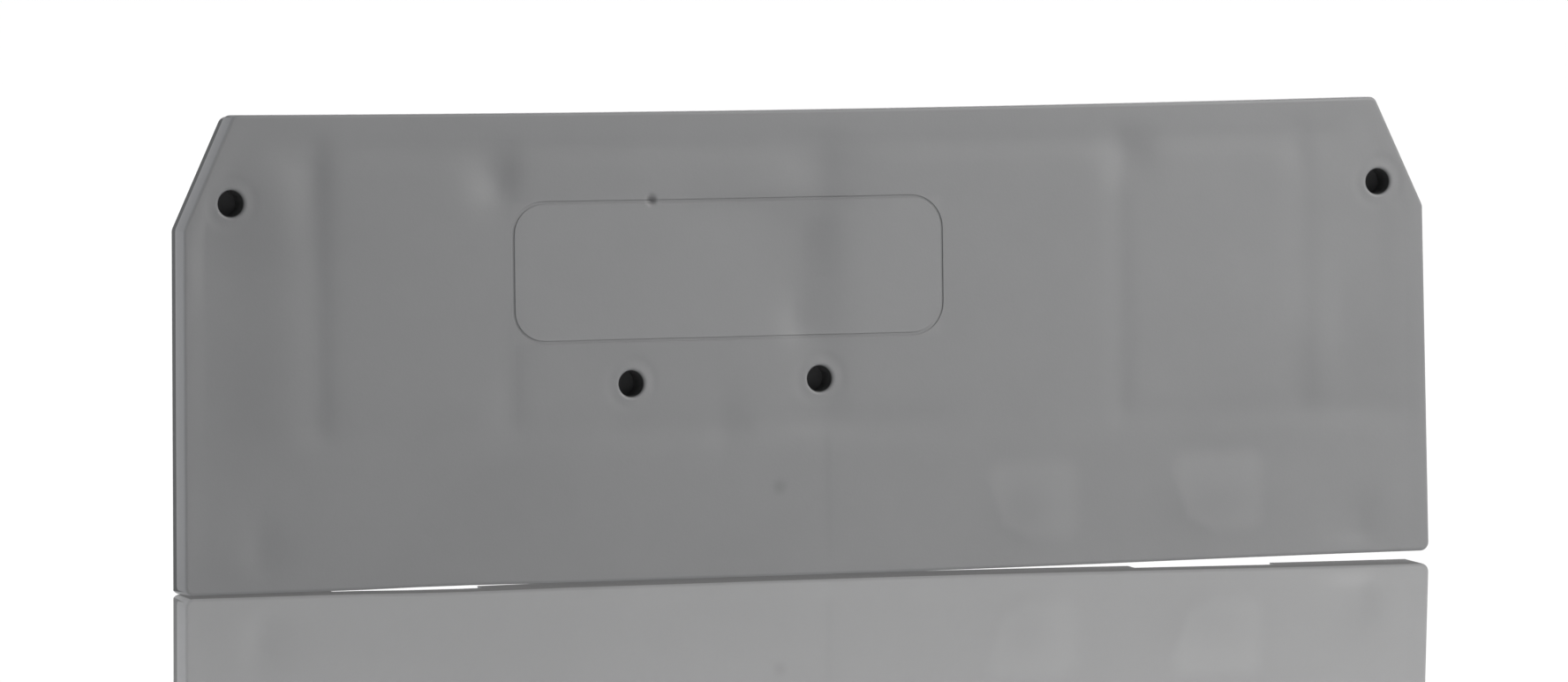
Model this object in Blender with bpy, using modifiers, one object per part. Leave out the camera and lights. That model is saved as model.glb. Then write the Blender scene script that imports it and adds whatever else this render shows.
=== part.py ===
"""End cover of a rail-mounted terminal block: one moulded plate that stands on its long edge.

The outer face looks along -Y, with the marking field and the four blind sockets. The seating face, which meets
the open side of the terminal block, looks along +Y, with a rim, ribs and four snap pegs. Depths are measured
from the outer face, and the origin is under the middle of the whole cover, pegs included.
"""

import math

import bmesh
import bpy
from mathutils import Matrix, Vector

MM = 0.001

# Plate
LENGTH = 75.0 * MM
HEIGHT = 26.3 * MM
THICKNESS = 2.5 * MM
PANEL = 1.5 * MM  # outer wall, which carries everything on the inner side
END_LEAN = 0.2 * MM  # each end draws in by this much from the bottom edge up to its chamfer
CHAMFER_RUN = 2.95 * MM
CHAMFER_DROP = 6.25 * MM
CORNER_RADIUS = 0.5 * MM
EDGE_ROUND = 0.15 * MM

# Rim and ribs on the inner side
RIM_WIDTH = 1.2 * MM
RIM_STEP = 0.1 * MM  # the rim stands back from the panel's edge at both ends and along the top
RIB_WIDTH = 0.9 * MM
END_BAY = 8.0 * MM  # from an end to the middle of the first upright rib
NEXT_BAY = 10.8 * MM  # from the first upright rib to the second
FOOT_HEIGHT = 8.5 * MM  # from the bottom edge to the middle of the long rib
FOOT_RIB_OFFSET = 0.5 * MM  # short rib under the long one, to the right of the middle
MIDDLE_RIB_OFFSET = -0.15 * MM  # upright rib above the long one, behind the marking field
CHAMBER_RADIUS = 1.6 * MM
NOTCH_MARGIN = 0.5 * MM  # rim left beside each rib where the bottom rim is open

# Sockets in the outer face, with a peg behind each on the seating face
SOCKET_DIAMETER = 1.7 * MM
SOCKET_DEPTH = 1.7 * MM
PEG_CLEARANCE = 0.05 * MM  # all round, between a peg and the next cover's socket
PEG_LENGTH = 1.5 * MM
PEG_LEAD_IN = 0.3 * MM
BOSS_WALL = 0.8 * MM
BOSS_DROP = 0.1 * MM  # a boss stops this far short of the seating face
END_PEG_INSET = 3.0 * MM
END_PEG_DROP = 4.85 * MM
LOW_PEG_PITCH = 11.3 * MM
LOW_PEG_OFFSET = -5.6 * MM
LOW_PEG_BELOW_FIELD = 2.4 * MM

# Marking field, framed by a fine groove in the outer face
FIELD_WIDTH = 25.6 * MM
FIELD_HEIGHT = 7.85 * MM
FIELD_OFFSET = -5.35 * MM
FIELD_DROP = 5.05 * MM
FIELD_RADIUS = 1.8 * MM
GROOVE_WIDTH = 0.16 * MM
GROOVE_DEPTH = 0.12 * MM

# Support pads behind the foot
PAD_WIDTH = 6.0 * MM
PAD_HEIGHT = 4.8 * MM
PAD_RISE = 0.6 * MM
PAD_RADIUS = 1.0 * MM
PAD_PITCH = 11.7 * MM
FIRST_PAD = 12.2 * MM  # from the short foot rib to the middle of the first pad

ARC_STEP = math.radians(11.25)
ROUND_SIDES = 32
OVERLAP = 0.6 * MM  # how deep joined shapes reach into each other, and cutters past the faces that they cut

OUTER_FACE = -(THICKNESS + PEG_LENGTH) / 2  # its y
FIELD_BOTTOM = HEIGHT - FIELD_DROP - FIELD_HEIGHT
STANDING = Matrix(((1, 0, 0, 0), (0, 0, -1, 0), (0, 1, 0, 0), (0, 0, 0, 1)))  # outline's y to z, depth to -y


def clear_scene():
    for obj in list(bpy.data.objects):
        bpy.data.objects.remove(obj, do_unlink=True)


def new_collection(name):
    collection = bpy.data.collections.new(name)
    bpy.context.scene.collection.children.link(collection)
    return collection


def moulded_polyamide():
    material = bpy.data.materials.new("grey moulded polyamide")
    material.use_nodes = True
    shader = material.node_tree.nodes["Principled BSDF"]
    shader.inputs["Base Color"].default_value = (0.235, 0.238, 0.245, 1.0)
    shader.inputs["Roughness"].default_value = 0.5
    shader.inputs["Metallic"].default_value = 0.0
    return material


def rounded(corners, radius):
    """The closed outline through these corners, counter-clockwise, with each corner made an arc."""
    points = []
    for i, corner in enumerate(corners):
        here = Vector(corner)
        back = Vector(corners[i - 1]) - here
        ahead = Vector(corners[(i + 1) % len(corners)]) - here
        half = back.angle(ahead) / 2
        reach = min(radius / math.tan(half), 0.45 * back.length, 0.45 * ahead.length)
        fitted = reach * math.tan(half)
        turn = math.copysign(math.pi - 2 * half, ahead.cross(back))
        middle = here + (back.normalized() + ahead.normalized()).normalized() * (reach / math.cos(half))
        start = here + back.normalized() * reach - middle
        steps = max(2, round(abs(turn) / ARC_STEP))
        for step in range(steps + 1):
            spoke = start.copy()
            spoke.rotate(Matrix.Rotation(turn * step / steps, 2))
            points.append(middle + spoke.normalized() * fitted)
    return points


def drawn_in(corners, depths):
    """The corners after each side, from its own corner to the next, moves inwards by its depth."""
    sides = []
    for i, depth in enumerate(depths):
        start = Vector(corners[i])
        along = (Vector(corners[(i + 1) % len(corners)]) - start).normalized()
        inward = Vector((-along.y, along.x))
        sides.append((start + inward * depth, along))
    moved = []
    for i, (start, along) in enumerate(sides):
        before, before_along = sides[i - 1]
        travel = (start - before).cross(along) / before_along.cross(along)
        moved.append(before + before_along * travel)
    return moved


def box(left, right, low, high):
    return [(left, low), (right, low), (right, high), (left, high)]


def plate_corners():
    """The cover's six corners, counter-clockwise from the bottom left."""
    end = LENGTH / 2
    foot = end - END_LEAN
    top = foot - CHAMFER_RUN
    shoulder = HEIGHT - CHAMFER_DROP
    return [(-end, 0), (end, 0), (foot, shoulder), (top, HEIGHT), (-top, HEIGHT), (-foot, shoulder)]


def extruded(name, outlines, near, far, collection):
    """A closed mesh between the depths near and far. A second outline is a hole in the first."""
    curve = bpy.data.curves.new(name, "CURVE")
    curve.dimensions = "2D"
    curve.fill_mode = "BOTH"
    curve.extrude = (far - near) / 2
    for outline in outlines:
        spline = curve.splines.new("POLY")
        spline.points.add(len(outline) - 1)
        for target, point in zip(spline.points, outline):
            target.co = (point[0], point[1], 0, 1)
        spline.use_cyclic_u = True
    shape = bpy.data.objects.new(name, curve)
    bpy.context.scene.collection.objects.link(shape)
    graph = bpy.context.evaluated_depsgraph_get()
    mesh = bpy.data.meshes.new_from_object(shape.evaluated_get(graph))
    bpy.data.objects.remove(shape)
    bm = bmesh.new()
    bm.from_mesh(mesh)
    bmesh.ops.remove_doubles(bm, verts=bm.verts, dist=0.0001 * MM)
    bmesh.ops.dissolve_limit(bm, angle_limit=math.radians(0.5), verts=bm.verts, edges=bm.edges)
    bm.transform(Matrix.Translation((0, (near + far) / 2, 0)) @ STANDING)
    bmesh.ops.recalc_face_normals(bm, faces=bm.faces)
    bm.to_mesh(mesh)
    bm.free()
    mesh.name = name
    mesh.shade_smooth()
    mesh.set_sharp_from_angle(angle=math.radians(40))
    obj = bpy.data.objects.new(name, mesh)
    obj.location.y = OUTER_FACE
    collection.objects.link(obj)
    return obj


def turned(name, profile, x, z, collection):
    """A round shape about an axis along y at (x, z). The profile holds (radius, depth) pairs, deepest first."""
    mesh = bpy.data.meshes.new(name)
    bm = bmesh.new()
    verts = [bm.verts.new((radius, 0, depth)) for radius, depth in profile]
    for first, second in zip(verts, verts[1:]):
        bm.edges.new((first, second))
    bm.to_mesh(mesh)
    bm.free()
    obj = bpy.data.objects.new(name, mesh)
    collection.objects.link(obj)
    obj.location = (x, OUTER_FACE, z)
    obj.rotation_euler = (-math.pi / 2, 0, 0)
    screw = obj.modifiers.new("turn", "SCREW")
    screw.steps = ROUND_SIDES
    screw.render_steps = ROUND_SIDES
    screw.use_merge_vertices = True
    screw.merge_threshold = 0.0001 * MM
    screw.use_smooth_shade = True
    return obj


def as_helper(collection):
    """Leaves these objects to the Booleans alone."""
    for obj in collection.objects:
        obj.hide_render = True
        obj.display_type = "WIRE"


def combine(target, operation, collection):
    boolean = target.modifiers.new(f"{operation} {collection.name}".lower(), "BOOLEAN")
    boolean.operation = operation
    boolean.operand_type = "COLLECTION"
    boolean.collection = collection
    boolean.solver = "EXACT"


def peg_places():
    """The middles of the four sockets and pegs: two by the chamfers, two under the marking field."""
    end = LENGTH / 2 - END_PEG_INSET
    high = HEIGHT - END_PEG_DROP
    low = FIELD_BOTTOM - LOW_PEG_BELOW_FIELD
    half = LOW_PEG_PITCH / 2
    return [(-end, high), (end, high), (LOW_PEG_OFFSET - half, low), (LOW_PEG_OFFSET + half, low)]


def rib_places():
    """The middles of the five upright ribs, from left to right."""
    first = LENGTH / 2 - END_BAY
    second = first - NEXT_BAY
    return [-first, -second, MIDDLE_RIB_OFFSET, second, first]


def add_plate(collection):
    """The whole thickness of the cover, with its outer edge rounded."""
    plate = extruded("end_cover", [rounded(plate_corners(), CORNER_RADIUS)], 0, THICKNESS, collection)
    weights = plate.data.attributes.new("bevel_weight_edge", "FLOAT", "EDGE")
    for edge, weight in zip(plate.data.edges, weights.data):
        on_face = all(plate.data.vertices[i].co.y == 0 for i in edge.vertices)
        weight.value = 1.0 if on_face else 0.0
    bevel = plate.modifiers.new("edge round", "BEVEL")
    bevel.width = EDGE_ROUND
    bevel.segments = 2
    bevel.limit_method = "WEIGHT"
    return plate


def add_rim_step(collection):
    """A frame that trims the rim back from the panel's edge, apart from the bottom, which stays level."""
    outside = drawn_in(plate_corners(), [-2 * OVERLAP] * 6)
    kept = drawn_in(plate_corners(), [-OVERLAP] + [RIM_STEP] * 5)
    outlines = [rounded(outside, CORNER_RADIUS), rounded(kept, CORNER_RADIUS)]
    extruded("rim_step", outlines, PANEL, THICKNESS + OVERLAP, collection)


def add_chambers(collection):
    """Pockets down to the panel, which leave the rim and the ribs standing between them."""
    inner = drawn_in(plate_corners(), [RIM_WIDTH] + [RIM_STEP + RIM_WIDTH] * 5)
    half = RIB_WIDTH / 2
    above = FOOT_HEIGHT + half
    below = FOOT_HEIGHT - half
    corner, shoulder, top = inner[1:4]

    def end_at(height):
        return corner.x + (shoulder.x - corner.x) * (height - corner.y) / (shoulder.y - corner.y)

    def foot_chamber(side):
        """From the short rib to the end, open through the bottom rim in the bay between the upright ribs."""
        rib = side * FOOT_RIB_OFFSET + half
        near, far = rib_places()[-2:]
        near += half + NOTCH_MARGIN
        far -= half + NOTCH_MARGIN
        low = corner.y
        notch = [(near, low), (near, -OVERLAP), (far, -OVERLAP), (far, low)]
        return [(rib, low), *notch, (corner.x, low), (end_at(below), below), (rib, below)]

    def mirrored(outline):
        return [(-x, z) for x, z in reversed(outline)]

    ribs = rib_places()
    last = ribs[-1] + half
    end_chamber = [(last, above), (end_at(above), above), shoulder, top, (last, top.y)]
    outlines = [end_chamber, mirrored(end_chamber), foot_chamber(1), mirrored(foot_chamber(-1))]
    outlines += [box(left + half, right - half, above, top.y) for left, right in zip(ribs, ribs[1:])]
    for number, outline in enumerate(outlines, 1):
        extruded(f"chamber_{number}", [rounded(outline, CHAMBER_RADIUS)], PANEL, THICKNESS + OVERLAP, collection)


def add_pads(collection):
    middle = (RIM_WIDTH + FOOT_HEIGHT - RIB_WIDTH / 2) / 2
    for number in range(2):
        x = FOOT_RIB_OFFSET + FIRST_PAD + number * PAD_PITCH
        outline = box(x - PAD_WIDTH / 2, x + PAD_WIDTH / 2, middle - PAD_HEIGHT / 2, middle + PAD_HEIGHT / 2)
        extruded(f"pad_{number + 1}", [rounded(outline, PAD_RADIUS)], PANEL - OVERLAP, PANEL + PAD_RISE, collection)


def add_pegs(collection):
    """Each peg stands in line with a socket, on the boss that backs it."""
    boss_radius = SOCKET_DIAMETER / 2 + BOSS_WALL
    boss_top = THICKNESS - BOSS_DROP
    radius = SOCKET_DIAMETER / 2 - PEG_CLEARANCE
    tip = THICKNESS + PEG_LENGTH
    root = PANEL - OVERLAP
    profile = [
        (0, tip),
        (radius - PEG_LEAD_IN, tip),
        (radius, tip - PEG_LEAD_IN),
        (radius, boss_top),
        (boss_radius, boss_top),
        (boss_radius, root),
        (0, root),
    ]
    for number, (x, z) in enumerate(peg_places(), 1):
        turned(f"peg_{number}", profile, x, z, collection)


def add_sockets(collection):
    radius = SOCKET_DIAMETER / 2
    bore = [(0, SOCKET_DEPTH), (radius, SOCKET_DEPTH), (radius, -OVERLAP), (0, -OVERLAP)]
    for number, (x, z) in enumerate(peg_places(), 1):
        turned(f"socket_{number}", bore, x, z, collection)


def add_field_groove(collection):
    left = FIELD_OFFSET - FIELD_WIDTH / 2
    right = FIELD_OFFSET + FIELD_WIDTH / 2
    top = FIELD_BOTTOM + FIELD_HEIGHT
    half = GROOVE_WIDTH / 2
    outer = box(left - half, right + half, FIELD_BOTTOM - half, top + half)
    inner = box(left + half, right - half, FIELD_BOTTOM + half, top - half)
    outlines = [rounded(outer, FIELD_RADIUS + half), rounded(inner, FIELD_RADIUS - half)]
    extruded("field_groove", outlines, -OVERLAP, GROOVE_DEPTH, collection)


def main():
    clear_scene()
    parts = new_collection("terminal block end cover")
    inner_cuts = new_collection("rim step and chambers")
    raised = new_collection("pegs and pads")
    outer_cuts = new_collection("sockets and groove")
    cover = add_plate(parts)
    cover.data.materials.append(moulded_polyamide())
    add_rim_step(inner_cuts)
    add_chambers(inner_cuts)
    add_pads(raised)
    add_pegs(raised)
    add_sockets(outer_cuts)
    add_field_groove(outer_cuts)
    for collection in (inner_cuts, raised, outer_cuts):
        as_helper(collection)
    combine(cover, "DIFFERENCE", inner_cuts)
    combine(cover, "UNION", raised)
    combine(cover, "DIFFERENCE", outer_cuts)


main()
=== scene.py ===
"""End cover of a rail-mounted terminal block, as moulded grey polyamide on a glossy white table.

The dressed cover starts as a copy of the CAD cover. Its moulded edges are rounded, and its outer
face is cut into a fine grid and sinks a little wherever a rib, the rim, a boss or a pad stands
behind it. The long edges bow and lift as the plastic shrank.
"""

import math

import bmesh
import bpy
from mathutils import Matrix, Vector


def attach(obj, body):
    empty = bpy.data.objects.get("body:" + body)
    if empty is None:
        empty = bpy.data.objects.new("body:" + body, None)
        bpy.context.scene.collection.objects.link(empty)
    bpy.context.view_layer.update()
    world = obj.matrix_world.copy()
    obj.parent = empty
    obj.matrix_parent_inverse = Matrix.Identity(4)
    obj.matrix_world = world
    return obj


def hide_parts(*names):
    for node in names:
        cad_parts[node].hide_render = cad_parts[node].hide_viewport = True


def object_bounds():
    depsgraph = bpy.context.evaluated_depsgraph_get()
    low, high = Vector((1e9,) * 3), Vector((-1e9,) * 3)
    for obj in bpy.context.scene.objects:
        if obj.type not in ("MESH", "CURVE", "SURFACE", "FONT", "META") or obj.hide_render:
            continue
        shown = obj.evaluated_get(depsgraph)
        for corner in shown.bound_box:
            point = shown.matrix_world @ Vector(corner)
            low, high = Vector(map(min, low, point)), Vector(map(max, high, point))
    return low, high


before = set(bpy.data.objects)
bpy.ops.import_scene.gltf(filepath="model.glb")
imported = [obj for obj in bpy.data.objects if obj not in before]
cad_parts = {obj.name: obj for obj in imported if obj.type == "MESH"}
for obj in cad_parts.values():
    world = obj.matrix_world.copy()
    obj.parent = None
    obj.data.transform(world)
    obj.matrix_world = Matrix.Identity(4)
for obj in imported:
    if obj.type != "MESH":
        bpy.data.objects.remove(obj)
cad_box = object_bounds()

MM = 0.001

# Camera and table. A program fitted these numbers to the photograph's outline, sockets, marking
# field and mirror image. Only the distance, the table's fall and its reach were given one by one.
AIM = Vector((-2.142, -2.0, 13.165)) * MM
AIM_DISTANCE = 560.0 * MM
YAW = math.radians(21.192)  # the camera stands to the left of the outer face's middle
PITCH = math.radians(1.948)
ROLL = math.radians(-0.697)
LENS = 229.57
TABLE_FALL = math.radians(0.08)  # towards the cover's right end
TABLE_LEAN = math.radians(1.746)  # towards the camera
TABLE_REACH = 3.0  # half of the sheet's side, in metres

# Set by trial renders. A program's fit of the outer face's brightness guided the first lamp.
LAMPS = (  # name, place and side in metres, power in watts, colour
    ("softbox", (0.151, -0.145, 0.149), 0.12, 0.449, "#FFFDFA"),
    ("left_softbox", (-0.42, 0.05, 0.12), 0.2, 0.6, "#FCFDFF"),
    ("back_softbox", (0.3, 0.5, 0.35), 0.3, 0.9, "#FFFFFF"),
)
ROOM_LIGHT = 0.13  # what the white room itself sheds on the cover

# The CAD cover's sizes. All lengths from here on are in millimetres, a place is an x, a z or both,
# and a level is a depth behind the outer face.
OUTER_FACE = -2.0  # its y
HALF_LENGTH = 37.5
HEIGHT = 26.3
END_LEAN = 0.2  # each end draws in by this much up to its chamfer
CHAMFER_RUN = 2.95
CHAMFER_DROP = 6.25
EDGE_ROUND = 0.15
PANEL = 1.5
PAD_LEVEL = 2.1
THICKNESS = 2.5
PEG_TIP = 4.0
PEG_LEAD_IN = 0.3
SOCKETS = ((-34.5, 21.45), (34.5, 21.45), (-11.25, 11.0), (0.05, 11.0))
SOCKET_DEPTH = 1.7
SOCKET_REACH = 1.0  # what lies this close to a socket's middle belongs to the socket
CAD_GROOVE_DEPTH = 0.12
FIELD_SIDES = (-18.15, 7.45)
FIELD_HEIGHTS = (13.4, 21.25)

# What the dressing makes of them
SOCKET_BORE = 0.73  # radius, under a mouth rounded by the next length
SOCKET_MOUTH = 0.19
GROOVE_DEPTH = 0.06
EDGE_ROUNDS = (  # level, the faces' angle, below zero in a hollow, width and steps of the round
    (PANEL, -90, 0.08, 2),  # foot of every wall in the chambers
    (THICKNESS, 90, 0.06, 2),  # rim and ribs
    (PAD_LEVEL, 90, 0.12, 2),
    (PEG_TIP, 45, 0.05, 2),
    (PEG_TIP - PEG_LEAD_IN, 45, 0.1, 2),
    (EDGE_ROUND * (1 - math.sqrt(0.5)), 45, 0.04, 2),  # middle of the round along the front edge
)
FACE_EDGE_ROUND = 0.02
GRID = 0.3
SOCKET_GRID = (1.8, 0.15)  # reach of the closer grid lines around a socket, and their step
SPECK_GRID = (0.8, 0.08)
FLAT_BORDER = 0.04  # around each large flat of the inner side
FACE_BORDER = 0.05  # around the outer face's grid
EDGE_CUTS = range(-36, 37, 3)  # places where the long edges are cut crosswise
TOP_STRIP = 22.5  # faces that reach above this height are cut
FOOT_STRIP = 1.5  # faces that reach below it are cut
UNDERSIDE_CUT = 0.06  # height that keeps the underside's drag off the chamber floors
SMOOTH_ANGLE = math.radians(32)

# Marks that the moulding leaves on the outer face. A width is that of one soft flank. A program
# fitted the numbers of the valleys, hollows, pads and patches of painted shade to the photograph's
# local light and dark by least squares, and they are only rounded here. Few were given one by one:
# the rings, the two specks, the field's bloom, the last patch of painted shade, and one value each
# in a valley, a hollow and a patch of painted shade.
SKIN_SINK = 0.03  # of the whole face inside its outline
UPRIGHT_VALLEYS = (  # over the upright ribs: place, widths left and right, depth
    (-29.6, 0.9, 0.51, 0.125),
    (-18.27, 1.74, 0.35, 0.025),
    (0.1, 1.78, 0.95, 0.119),
    (18.4, 0.6, 0.47, 0.066),
    (29.75, 0.75, 0.58, 0.066),
)
UPRIGHT_ENDS = ((7.6, 9.2), (24.4, 25.6))  # heights over which these valleys start and end
LONG_RIB = (8.5, 0.7, 0.65)  # place, widths below and above
LONG_VALLEY = (  # over the long rib: where each stretch starts and ends, and its depth
    (-38.5, -13, 0.034),
    (-13, 8, 0.092),
    (8, 19, 0.013),
    (19, 28, 0.069),
    (28, 38.5, 0.094),
)
STRETCH_FADE = 1.5  # half of the length over which one stretch passes into the next
RIM_VALLEY = (24.35, 0.65, 0.36, 0.07)  # along the top rim: place, widths below and above, depth
RIM_VALLEY_ENDS = ((-33, -31), (31, 33))
FOOT_VALLEY = (0.2, 0.65, 0.25, 0.023)  # over the short foot rib, as the upright ones
FOOT_VALLEY_ENDS = ((0.3, 1.5), (7.4, 8.6))
BOSS_RING = (1.3, 0.2, 0.03)  # around each socket: radius, width, depth
# Over crossings and thick places, and elsewhere where the photograph's shading asks for one
HOLLOWS = (  # place, widths left, right, down and up, depth
    (-30.0, 23.2, 0.9, 0.9, 2.5, 0.5, 0.15),
    (-19.1, 22.8, 1.0, 0.8, 1.15, 0.95, 0.31),
    (0.1, 22.9, 1.3, 2.0, 2.2, 0.8, 0.17),
    (19.0, 23.6, 1.1, 0.95, 1.3, 0.85, 0.24),
    (29.5, 23.4, 0.7, 0.55, 0.8, 0.4, 0.06),
    (-29.2, 9.4, 1.9, 0.8, 2.3, 1.5, 0.04),
    (-18.4, 9.8, 0.7, 0.6, 1.0, 2.7, 0.075),
    (17.9, 8.8, 1.8, 0.8, 0.9, 1.8, 0.05),
    (29.0, 11.5, 1.0, 1.9, 1.8, 0.9, 0.085),
    (-1.0, 19.4, 1.9, 1.1, 2.5, 0.9, 0.185),
    (-1.2, 14.3, 0.7, 0.95, 0.9, 1.25, 0.19),
    (-35.1, 18.5, 2.2, 2.2, 1.8, 2.9, 0.14),
    (-34.8, 12.4, 2.2, 2.2, 1.8, 1.0, 0.05),
    (-33.1, 2.4, 0.7, 0.8, 1.0, 1.15, 0.14),
    (32.5, 12.5, 1.0, 1.85, 2.7, 2.9, 0.175),
    (33.0, 2.0, 1.5, 0.8, 1.5, 1.1, 0.14),
    (-5.8, 8.3, 0.65, 0.6, 0.9, 1.4, 0.065),
    (34.4, 18.9, 2.1, 0.8, 2.9, 1.1, 0.1),
)
# Two small pits; the grey levels of each are painted shade in it
GATE_MARK = (-2.5, 5.0, 0.65, 0.004, -9)  # place, radius, depth, grey levels
NICK = (-9.95, 21.32, 0.42, 0.15, -14)  # in the field's frame
SPECKS = (GATE_MARK, NICK)

# Tone, in grey levels lighter or darker than the plain plastic
LEVELS = 28  # between the two ends of the plastic's tone
FIELD_BLOOM = 3.0  # over the marking field
PADS = (  # painted light on the pads: place, half the width and height of its flat middle, levels
    (12.9, 3.8, 1.75, 1.3, 6.3),
    (24.3, 3.95, 1.8, 1.4, 7.9),
)
PAD_FADE = (0.2, 1.5)  # how far outside its flat middle the painted light starts to fade and is gone
PAD_CUT = (-1.7, 3.6)  # x from a pad's middle, and z, where the painted light's lower left corner is cut off
PAD_CUT_WAY = (-0.8, -0.6)
SHADE_PATCHES = (  # painted shade: place, widths across and upward, grey levels
    (-4.3, 8.6, 0.45, 0.5, -2.4),
    (-33.5, 1.3, 2.2, 1.4, -3.7),
    (-33.7, 20.1, 3.1, 3.1, -7.9),
    (-1.25, 18.8, 1.85, 2.4, -9.0),
    (12.3, 3.1, 1.35, 1.3, -6.5),
    (23.9, 3.1, 2.0, 1.05, -6.5),
    (-33.3, 10.6, 2.4, 4.0, -7.0),
    (25.7, 7.3, 3.9, 1.05, -2.9),
    (30.8, 10.4, 3.2, 1.55, -5.2),
    (-2.6, 21.2, 3.8, 0.4, -4.7),
    (-21, 4.5, 6.0, 4.0, -2.5),
)

# How far painted shade makes the plastic nearly black and duller, up to 1
SOCKET_FLOOR_PAINTED_SHADE = 0.6
RIM_SIDE_PAINTED_SHADE = 0.78
RIM_SIDE_GAPS = (0.05, 0.14)  # the rim's sides lie this far inside the outline
UNDERSIDE_PAINTED_SHADE = 0.8
NICK_PAINTED_SHADE = 0.3

# Shrinkage in the cover's plane
TOP_BOW = 0.2  # the long top edge has drawn in by this much in its middle
BOW_HALF_SPAN = 34.5
BOW_FOOT = 13.4  # height below which nothing has drawn in
FOOT_WARP = (  # places along the bottom edge, and how far the edge has lifted there
    (-37.5, 0.0),
    (-28.5, 0.01),
    (-22, 0.08),
    (-14, 0.02),
    (3, 0.0),
    (37.5, 0.19),
)
FOOT_WARP_FADE = 7  # height by which this lift is gone

ACROSS, UPWARD = 0, 2  # axes


def linear(code):
    """An sRGB hex colour as linear red, green, blue and a full alpha."""
    channels = [int(code[i : i + 2], 16) / 255 for i in (1, 3, 5)]
    return [c / 12.92 if c <= 0.04045 else ((c + 0.055) / 1.055) ** 2.4 for c in channels] + [1.0]


def add_node(tree, kind, inputs=None, **settings):
    """Adds a node with these settings. An input takes a value, or another node's output to link."""
    node = tree.nodes.new(kind)
    for name, value in settings.items():
        setattr(node, name, value)
    for name, value in (inputs or {}).items():
        if isinstance(value, bpy.types.NodeSocket):
            tree.links.new(value, node.inputs[name])
        else:
            node.inputs[name].default_value = value
    return node


def in_sight(tree):
    """1 for a ray that reaches the eye straight, mirrored or refracted, and 0 for any other."""
    rays = add_node(tree, "ShaderNodeLightPath").outputs
    seen = rays["Is Camera Ray"]
    for other in ("Is Glossy Ray", "Is Transmission Ray"):
        either = add_node(tree, "ShaderNodeMath", {0: seen, 1: rays[other]}, operation="MAXIMUM")
        seen = either.outputs[0]
    return seen


def new_material(name):
    material = bpy.data.materials.new(name)
    material.use_nodes = True
    material.node_tree.nodes.clear()
    return material, material.node_tree


# Materials


def moulded_polyamide():
    """Pigmented polyamide, injection-moulded in a spark-eroded mould.

    To the eye it is matt, with a broad soft sheen that the fine grain breaks up, and slightly
    cloudy, because the pigment isn't spread quite evenly. Painted shade makes it duller and nearly
    black in the sockets, on the rim's recessed sides, on the underside and in the nick.
    """
    material, tree = new_material("moulded_grey_polyamide")
    place = add_node(tree, "ShaderNodeTexCoord").outputs["Object"]
    marks = add_node(tree, "ShaderNodeAttribute", attribute_name="tone").outputs["Fac"]
    painted_shade = add_node(tree, "ShaderNodeAttribute", attribute_name="painted_shade").outputs["Fac"]
    # Clouds about 4.5 mm across, and a grain of 0.14 mm, drawn coarser than the mould's so it shows
    cloud = add_node(
        tree, "ShaderNodeTexNoise", {"Vector": place, "Scale": 220.0, "Detail": 3.0}
    ).outputs["Fac"]
    grain = add_node(
        tree, "ShaderNodeTexNoise", {"Vector": place, "Scale": 7000.0, "Detail": 2.0}
    ).outputs["Fac"]
    drift = add_node(
        tree, "ShaderNodeMath", {0: cloud, 1: 0.2, 2: -0.1}, operation="MULTIPLY_ADD"
    ).outputs[0]
    tone = add_node(tree, "ShaderNodeMath", {0: marks, 1: drift}, operation="ADD").outputs[0]
    plain = add_node(
        tree,
        "ShaderNodeMix",
        {"Factor": tone, 6: linear("#737476"), 7: linear("#8F9092")},
        data_type="RGBA",
    ).outputs[2]
    # Painted shade: nearly black in the sockets, on the rim's recessed sides, underside and nick
    colour = add_node(
        tree, "ShaderNodeMix", {"Factor": painted_shade, 6: plain, 7: linear("#131415")}, data_type="RGBA"
    ).outputs[2]
    matt = add_node(
        tree, "ShaderNodeMapRange", {"Value": grain, "To Min": 0.46, "To Max": 0.58}
    ).outputs["Result"]
    dull = add_node(
        tree, "ShaderNodeMath", {0: painted_shade, 1: 0.4, 2: matt}, operation="MULTIPLY_ADD"
    ).outputs[0]
    bump = add_node(
        tree, "ShaderNodeBump", {"Height": grain, "Distance": 0.006 * MM, "Strength": 0.6}
    ).outputs["Normal"]
    shader = add_node(
        tree,
        "ShaderNodeBsdfPrincipled",
        {"Base Color": colour, "Roughness": dull, "Normal": bump, "IOR": 1.53},
    )
    add_node(tree, "ShaderNodeOutputMaterial", {"Surface": shader.outputs["BSDF"]})
    return material


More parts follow.
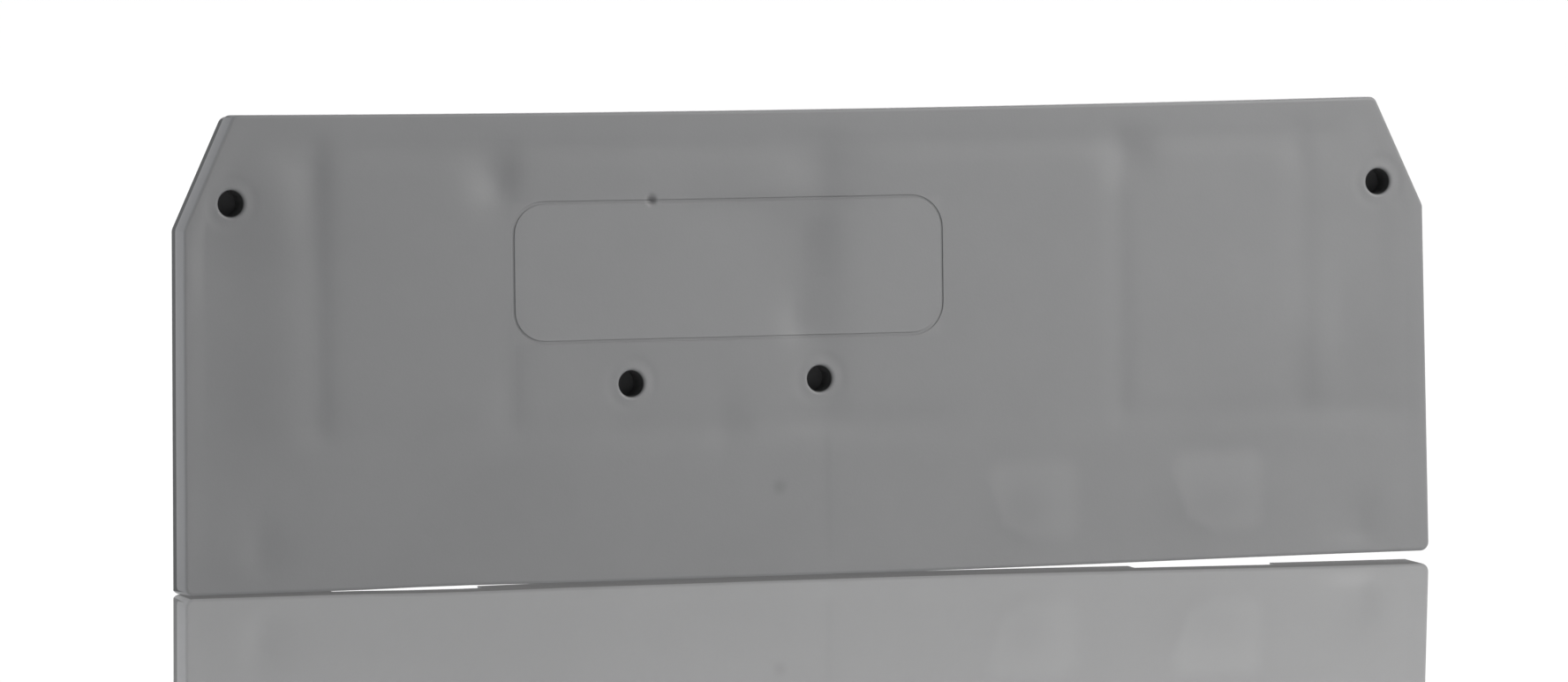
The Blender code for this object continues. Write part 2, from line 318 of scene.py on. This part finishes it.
def white_table():
    """Glossy white lacquered sheet.

    To the eye it is nearly a mirror at the photograph's flat angle, and a pale floor that keeps
    the cover's shadow from above.
    """
    material, tree = new_material("glossy_white_table")
    lift = add_node(
        tree, "ShaderNodeEmission", {"Color": linear("#FFFFFF"), "Strength": in_sight(tree)}
    )
    body = add_node(tree, "ShaderNodeBsdfDiffuse", {"Color": linear("#E6E6E6")})
    pale = add_node(tree, "ShaderNodeAddShader", {0: body.outputs[0], 1: lift.outputs[0]})
    mirror = add_node(
        tree, "ShaderNodeBsdfGlossy", {"Color": linear("#FFFFFF"), "Roughness": 0.0}
    )
    facing = add_node(tree, "ShaderNodeLayerWeight", {"Blend": 0.5}).outputs["Facing"]
    share = add_node(
        tree,
        "ShaderNodeMapRange",
        {"Value": facing, "From Min": 0.7, "From Max": 0.91, "To Min": 0.04, "To Max": 0.935},
        interpolation_type="SMOOTHSTEP",
    )
    sheet = add_node(
        tree,
        "ShaderNodeMixShader",
        {"Fac": share.outputs[0], 1: pale.outputs[0], 2: mirror.outputs[0]},
    )
    add_node(tree, "ShaderNodeOutputMaterial", {"Surface": sheet.outputs[0]})
    return material


# Places on the cover


def level_of(vert):
    return vert.co.y - OUTER_FACE


def from_socket(x, z):
    """How far this place is from the middle of the nearest socket."""
    return min(math.hypot(x - x0, z - z0) for x0, z0 in SOCKETS)


def gaps(x, z):
    """How far this place is inside the end, the top edge and the chamfer between them."""
    end = HALF_LENGTH - END_LEAN * z / (HEIGHT - CHAMFER_DROP) - abs(x)
    top_corner = HALF_LENGTH - END_LEAN - CHAMFER_RUN
    chamfer = (top_corner - abs(x)) * CHAMFER_DROP + (HEIGHT - z) * CHAMFER_RUN
    return end, HEIGHT - z, chamfer / math.hypot(CHAMFER_RUN, CHAMFER_DROP)


def outer_faces(bm):
    """The faces of the flat outer face."""
    return [f for f in bm.faces if f.normal.y < -0.999 and abs(level_of(f.verts[0])) < 0.001]


def groove_faces(bm):
    """The small faces of the groove around the marking field."""
    left, right = FIELD_SIDES[0] - 0.25, FIELD_SIDES[1] + 0.25
    bottom, top = FIELD_HEIGHTS[0] - 0.25, FIELD_HEIGHTS[1] + 0.25
    found = []
    for face in bm.faces:
        middle = face.calc_center_median()
        if left < middle.x < right and bottom < middle.z < top:
            if all(level_of(vert) < 0.2 for vert in face.verts):
                found.append(face)
    return found


# Mesh of the cover


def merged_copy(node):
    """The CAD node's shape in millimetres, with its triangles merged and its flat faces whole."""
    bm = bmesh.new()
    bm.from_mesh(node.data)
    bm.transform(Matrix.Scale(1 / MM, 4))
    bmesh.ops.remove_doubles(bm, verts=bm.verts, dist=0.0005)
    bmesh.ops.dissolve_limit(bm, angle_limit=math.radians(0.4), verts=bm.verts, edges=bm.edges)
    bmesh.ops.recalc_face_normals(bm, faces=bm.faces)
    return bm


def shape_marks(bm):
    """Makes the field's groove as shallow as it looks, and narrows the sockets' bores."""
    for vert in bm.verts:
        level = level_of(vert)
        if abs(level - CAD_GROOVE_DEPTH) < 0.005:
            vert.co.y = OUTER_FACE + GROOVE_DEPTH
        for x, z in SOCKETS:
            away = Vector((vert.co.x - x, 0, vert.co.z - z))
            if level < SOCKET_DEPTH + 0.1 and away.length < SOCKET_REACH:
                vert.co -= away * (1 - SOCKET_BORE / away.length)


def near_socket(edge):
    middle = (edge.verts[0].co + edge.verts[1].co) / 2
    return from_socket(middle.x, middle.z) < SOCKET_REACH


def soften(bm, level, angle, width, segments, picked=lambda edge: True):
    """Rounds the picked edges on one level whose faces meet at about this angle in degrees."""
    edges = []
    for edge in bm.edges:
        on_level = all(abs(level_of(vert) - level) < 0.01 for vert in edge.verts)
        if on_level and edge.is_manifold and picked(edge):
            if abs(math.degrees(edge.calc_face_angle_signed()) - angle) < 5:
                edges.append(edge)
    bmesh.ops.bevel(
        bm,
        geom=edges,
        offset=width,
        offset_type="OFFSET",
        segments=segments,
        profile=0.5,
        affect="EDGES",
        material=-1,
        clamp_overlap=False,
    )


def add_border(bm, faces, width):
    bmesh.ops.inset_region(
        bm, faces=faces, thickness=width, use_boundary=True, use_even_offset=True
    )


def frame_inner_flats(bm):
    """Gives each large flat of the inner side a border, which keeps its middle's shading flat."""
    flats = []
    for face in bm.faces:
        heights = [vert.co.z for vert in face.verts]
        large = face.calc_area() > 1 and max(heights) - min(heights) > 0.3
        if face.normal.y > 0.999 and large:
            off_outline = all(min(gaps(vert.co.x, vert.co.z)) > 0.5 for vert in face.verts)
            if level_of(face.verts[0]) > PANEL + 0.1 or off_outline:
                flats.append(face)
    add_border(bm, flats, FLAT_BORDER)


def whole(faces):
    """These faces with all their edges and corners, each once."""
    geom = dict.fromkeys(faces)
    for face in faces:
        geom.update(dict.fromkeys((*face.edges, *face.verts)))
    return list(geom)


def cut(bm, geom, axis, place):
    """Cuts this geometry across one axis and returns all that it is now."""
    normal = Vector((0, 0, 0))
    normal[axis] = 1
    done = bmesh.ops.bisect_plane(
        bm, geom=geom, dist=0.002, plane_co=normal * place, plane_no=normal
    )
    return done["geom"]


def cut_long_edges(bm):
    """Cuts the faces by the top and the bottom edge crosswise, so that these edges can bow."""
    underside = [face for face in bm.faces if min(vert.co.z for vert in face.verts) < 0.01]
    cut(bm, whole(underside), UPWARD, UNDERSIDE_CUT)
    for x in EDGE_CUTS:
        by_an_edge = []
        for face in bm.faces:
            heights = [vert.co.z for vert in face.verts]
            if max(heights) > TOP_STRIP or min(heights) < FOOT_STRIP:
                by_an_edge.append(face)
        cut(bm, whole(by_an_edge), ACROSS, x)


def grid_lines(low, high, fine_places):
    """Even lines between low and high, with closer ones for this reach around each fine place."""
    count = round((high - low) / GRID)
    lines = {low + (high - low) * i / count for i in range(count + 1)}
    for middle, reach, step in fine_places:
        lines = {line for line in lines if abs(line - middle) > reach + 0.4 * step}
        count = round(reach / step)
        lines.update(middle + reach * i / count for i in range(-count, count + 1))
    return sorted(lines)


def cut_outer_face(bm):
    """Cuts the outer face into a fine grid, so that it can sink smoothly."""
    add_border(bm, outer_faces(bm), FACE_BORDER)
    geom = whole(outer_faces(bm) + groove_faces(bm))
    fine = [(x, z, *SOCKET_GRID) for x, z in SOCKETS] + [(x, z, *SPECK_GRID) for x, z, *_ in SPECKS]
    fine_across = sorted({(x, reach, step) for x, _, reach, step in fine})
    fine_upward = sorted({(z, reach, step) for _, z, reach, step in fine})
    for line in grid_lines(GRID, HEIGHT - GRID, fine_upward):
        geom = cut(bm, geom, UPWARD, line)
    for line in grid_lines(GRID - HALF_LENGTH, HALF_LENGTH - GRID, fine_across):
        geom = cut(bm, geom, ACROSS, line)


# Moulding marks


def dip(distance, width):
    """A soft bell, 1 in its middle."""
    return math.exp(-0.5 * (distance / width) ** 2)


def valley(offset, before, after):
    """A soft valley with its own width on each flank."""
    return dip(offset, before if offset < 0 else after)


def ease(value, start, end):
    """0 up to start, 1 from end on, and smooth in between."""
    t = min(1, max(0, (value - start) / (end - start)))
    return t * t * (3 - 2 * t)


def around(place, reach):
    return place - reach, place + reach


def between(value, rise, fall):
    """0, easing to 1 over the first stretch and back to 0 over the second."""
    return ease(value, *rise) * (1 - ease(value, *fall))


def inside(x, z, reach):
    """0 at the outline, rising to 1 this far inside it."""
    share = ease(z, 0.1, reach)
    for gap in gaps(x, z):
        share *= ease(gap, 0.2, reach)
    return share


def sink_at(x, z):
    """How far the outer face sinks here, where a rib, the rim or a boss stands behind it."""
    sink = SKIN_SINK * inside(x, z, 1.3)
    for rib, left, right, depth in UPRIGHT_VALLEYS:
        sink += depth * between(z, *UPRIGHT_ENDS) * valley(x - rib, left, right)
    rib, below, above = LONG_RIB
    for start, end, depth in LONG_VALLEY:
        share = between(x, around(start, STRETCH_FADE), around(end, STRETCH_FADE))
        sink += depth * share * inside(x, z, 3.0) * valley(z - rib, below, above)
    rim, below, above, depth = RIM_VALLEY
    sink += depth * between(x, *RIM_VALLEY_ENDS) * valley(z - rim, below, above)
    rib, left, right, depth = FOOT_VALLEY
    sink += depth * between(z, *FOOT_VALLEY_ENDS) * valley(x - rib, left, right)
    for x0, z0, left, right, down, up, depth in HOLLOWS:
        share = valley(x - x0, left, right) * valley(z - z0, down, up)
        sink += depth * inside(x, z, 1.3) * share
    radius, width, depth = BOSS_RING
    for x0, z0 in SOCKETS:
        sink += depth * dip(math.hypot(x - x0, z - z0) - radius, width)
    for x0, z0, radius, depth, _ in SPECKS:
        sink += depth * (1 - ease(math.hypot(x - x0, z - z0), 0, radius))
    return sink


def tone_at(x, z):
    """Tone here, 0.5 where plain: paler field, painted light on pads, painted shade in spots."""
    field = between(x, *[around(side, 0.15) for side in FIELD_SIDES])
    field *= between(z, *[around(height, 0.15) for height in FIELD_HEIGHTS])
    levels = FIELD_BLOOM * field
    for x0, z0, wide, high, painted_light in PADS:
        away = math.hypot(max(abs(x - x0) - wide, 0), max(abs(z - z0) - high, 0))
        past_cut = (x - x0 - PAD_CUT[0]) * PAD_CUT_WAY[0] + (z - PAD_CUT[1]) * PAD_CUT_WAY[1]
        levels += painted_light * (1 - ease(away + max(past_cut, 0), *PAD_FADE))
    for x0, z0, wide, high, shade_levels in SHADE_PATCHES:
        levels += shade_levels * dip(x - x0, wide) * dip(z - z0, high)
    for x0, z0, radius, _, shade_levels in SPECKS:
        levels += shade_levels * (1 - ease(math.hypot(x - x0, z - z0), 0, radius))
    return min(1, max(0, 0.5 + levels / LEVELS))


def painted_shade_at(x, z, level):
    """How far painted shade blackens the plastic: sockets, the rim's sides, underside and nick."""
    if level < SOCKET_DEPTH + 0.2 and from_socket(x, z) < SOCKET_REACH:
        return ease(level, 0.02, 0.2) if level < 1.0 else SOCKET_FLOOR_PAINTED_SHADE
    if level > PANEL - 0.01 and RIM_SIDE_GAPS[0] < min(gaps(x, z)) < RIM_SIDE_GAPS[1]:
        return RIM_SIDE_PAINTED_SHADE
    if z < 0.03 and level > EDGE_ROUND - 0.01:
        return UNDERSIDE_PAINTED_SHADE
    if level < 0.5:
        return NICK_PAINTED_SHADE * (1 - ease(math.hypot(x - NICK[0], z - NICK[1]), 0.1, NICK[2]))
    return 0.0


def warp_at(x, z):
    """How far the shrinking plastic has moved this place up or down in the cover's plane."""
    rise = 0
    for (x0, rise0), (x1, rise1) in zip(FOOT_WARP, FOOT_WARP[1:]):
        if x0 <= x <= x1:
            rise = rise0 + (rise1 - rise0) * ease(x, x0, x1)
    bow = TOP_BOW * max(0, 1 - (x / BOW_HALF_SPAN) ** 2)
    share = max(0, (z - BOW_FOOT) / (HEIGHT - BOW_FOOT))
    return rise * (1 - ease(z, 0, FOOT_WARP_FADE)) - bow * share


def apply_moulding(bm):
    """Writes each corner's tone and painted shade, sinks the outer face, and warps the plate."""
    tone = bm.verts.layers.float.new("tone")
    painted_shade = bm.verts.layers.float.new("painted_shade")
    for vert in bm.verts:
        x, z, level = vert.co.x, vert.co.z, level_of(vert)
        vert[tone] = tone_at(x, z) if level < 0.5 else 0.5
        vert[painted_shade] = painted_shade_at(x, z, level)
        if level < 0.6:
            vert.co.y += sink_at(x, z) * (1 - ease(level, 0.15, 0.6))
        vert.co.z += warp_at(x, z)


def finished(bm, name, material):
    """This mesh as an object in metres, smooth but for its sharp edges."""
    bm.transform(Matrix.Scale(MM, 4))
    mesh = bpy.data.meshes.new(name)
    bm.to_mesh(mesh)
    bm.free()
    if "custom_normal" in mesh.attributes:  # the CAD's own, which no longer fit
        mesh.attributes.remove(mesh.attributes["custom_normal"])
    mesh.shade_smooth()
    mesh.set_sharp_from_angle(angle=SMOOTH_ANGLE)
    mesh.materials.append(material)
    obj = bpy.data.objects.new(name, mesh)
    bpy.context.scene.collection.objects.link(obj)
    return obj


def dressed_cover():
    bm = merged_copy(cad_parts["end_cover"])
    shape_marks(bm)
    for level, angle, width, segments in EDGE_ROUNDS:
        soften(bm, level, angle, width, segments)
    soften(bm, 0, 90, SOCKET_MOUTH, 5, near_socket)
    soften(bm, 0, 90, FACE_EDGE_ROUND, 1, lambda edge: not near_socket(edge))
    frame_inner_flats(bm)
    cut_long_edges(bm)
    cut_outer_face(bm)
    apply_moulding(bm)
    return finished(bm, "moulded_cover", moulded_polyamide())


# Stage


def add_table():
    """A flat sheet under the cover's foot, turned about the foot's left inner corner."""
    mesh = bpy.data.meshes.new("table")
    bm = bmesh.new()
    bmesh.ops.create_grid(bm, x_segments=1, y_segments=1, size=TABLE_REACH)
    up = Vector((math.sin(TABLE_FALL), -math.sin(TABLE_LEAN), 1)).normalized()
    corner = Vector((cad_box[0][0], (OUTER_FACE + THICKNESS) * MM, 0))
    bm.transform(Matrix.Translation(corner) @ up.to_track_quat("Z", "Y").to_matrix().to_4x4())
    bm.to_mesh(mesh)
    bm.free()
    mesh.materials.append(white_table())
    table = bpy.data.objects.new("table", mesh)
    bpy.context.scene.collection.objects.link(table)
    return table


def add_camera():
    data = bpy.data.cameras.new("camera")
    data.lens = LENS
    data.clip_start = 0.01
    camera = bpy.data.objects.new("camera", data)
    bpy.context.scene.collection.objects.link(camera)
    upright = Matrix.Rotation(-YAW, 4, "Z") @ Matrix.Rotation(math.pi / 2 - PITCH, 4, "X")
    turn = upright @ Matrix.Rotation(ROLL, 4, "Z")
    look = turn.to_3x3() @ Vector((0, 0, -1))
    camera.matrix_world = Matrix.Translation(AIM - look * AIM_DISTANCE) @ turn
    bpy.context.scene.camera = camera


def add_softbox(name, place, side, power, colour):
    """A square lamp that faces the middle of the cover."""
    data = bpy.data.lights.new(name, "AREA")
    data.size = side
    data.energy = power
    data.color = linear(colour)[:3]
    lamp = bpy.data.objects.new(name, data)
    lamp.location = Vector(place)
    lamp.rotation_euler = (AIM - lamp.location).to_track_quat("-Z", "Y").to_euler()
    bpy.context.scene.collection.objects.link(lamp)


def light_room():
    """White to the camera and in reflections, and a plain even light on everything."""
    world = bpy.data.worlds.new("studio")
    bpy.context.scene.world = world
    world.use_nodes = True
    tree = world.node_tree
    tree.nodes.clear()
    strength = add_node(
        tree, "ShaderNodeMapRange", {"Value": in_sight(tree), "To Min": ROOM_LIGHT, "To Max": 1.0}
    ).outputs[0]
    room = add_node(
        tree, "ShaderNodeBackground", {"Color": linear("#FFFFFF"), "Strength": strength}
    )
    add_node(tree, "ShaderNodeOutputWorld", {"Surface": room.outputs[0]})


add_camera()
cover = dressed_cover()
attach(cover, "root")
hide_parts("end_cover")
add_table()
for lamp in LAMPS:
    add_softbox(*lamp)
light_room()
bpy.context.scene.view_settings.view_transform = "Standard"
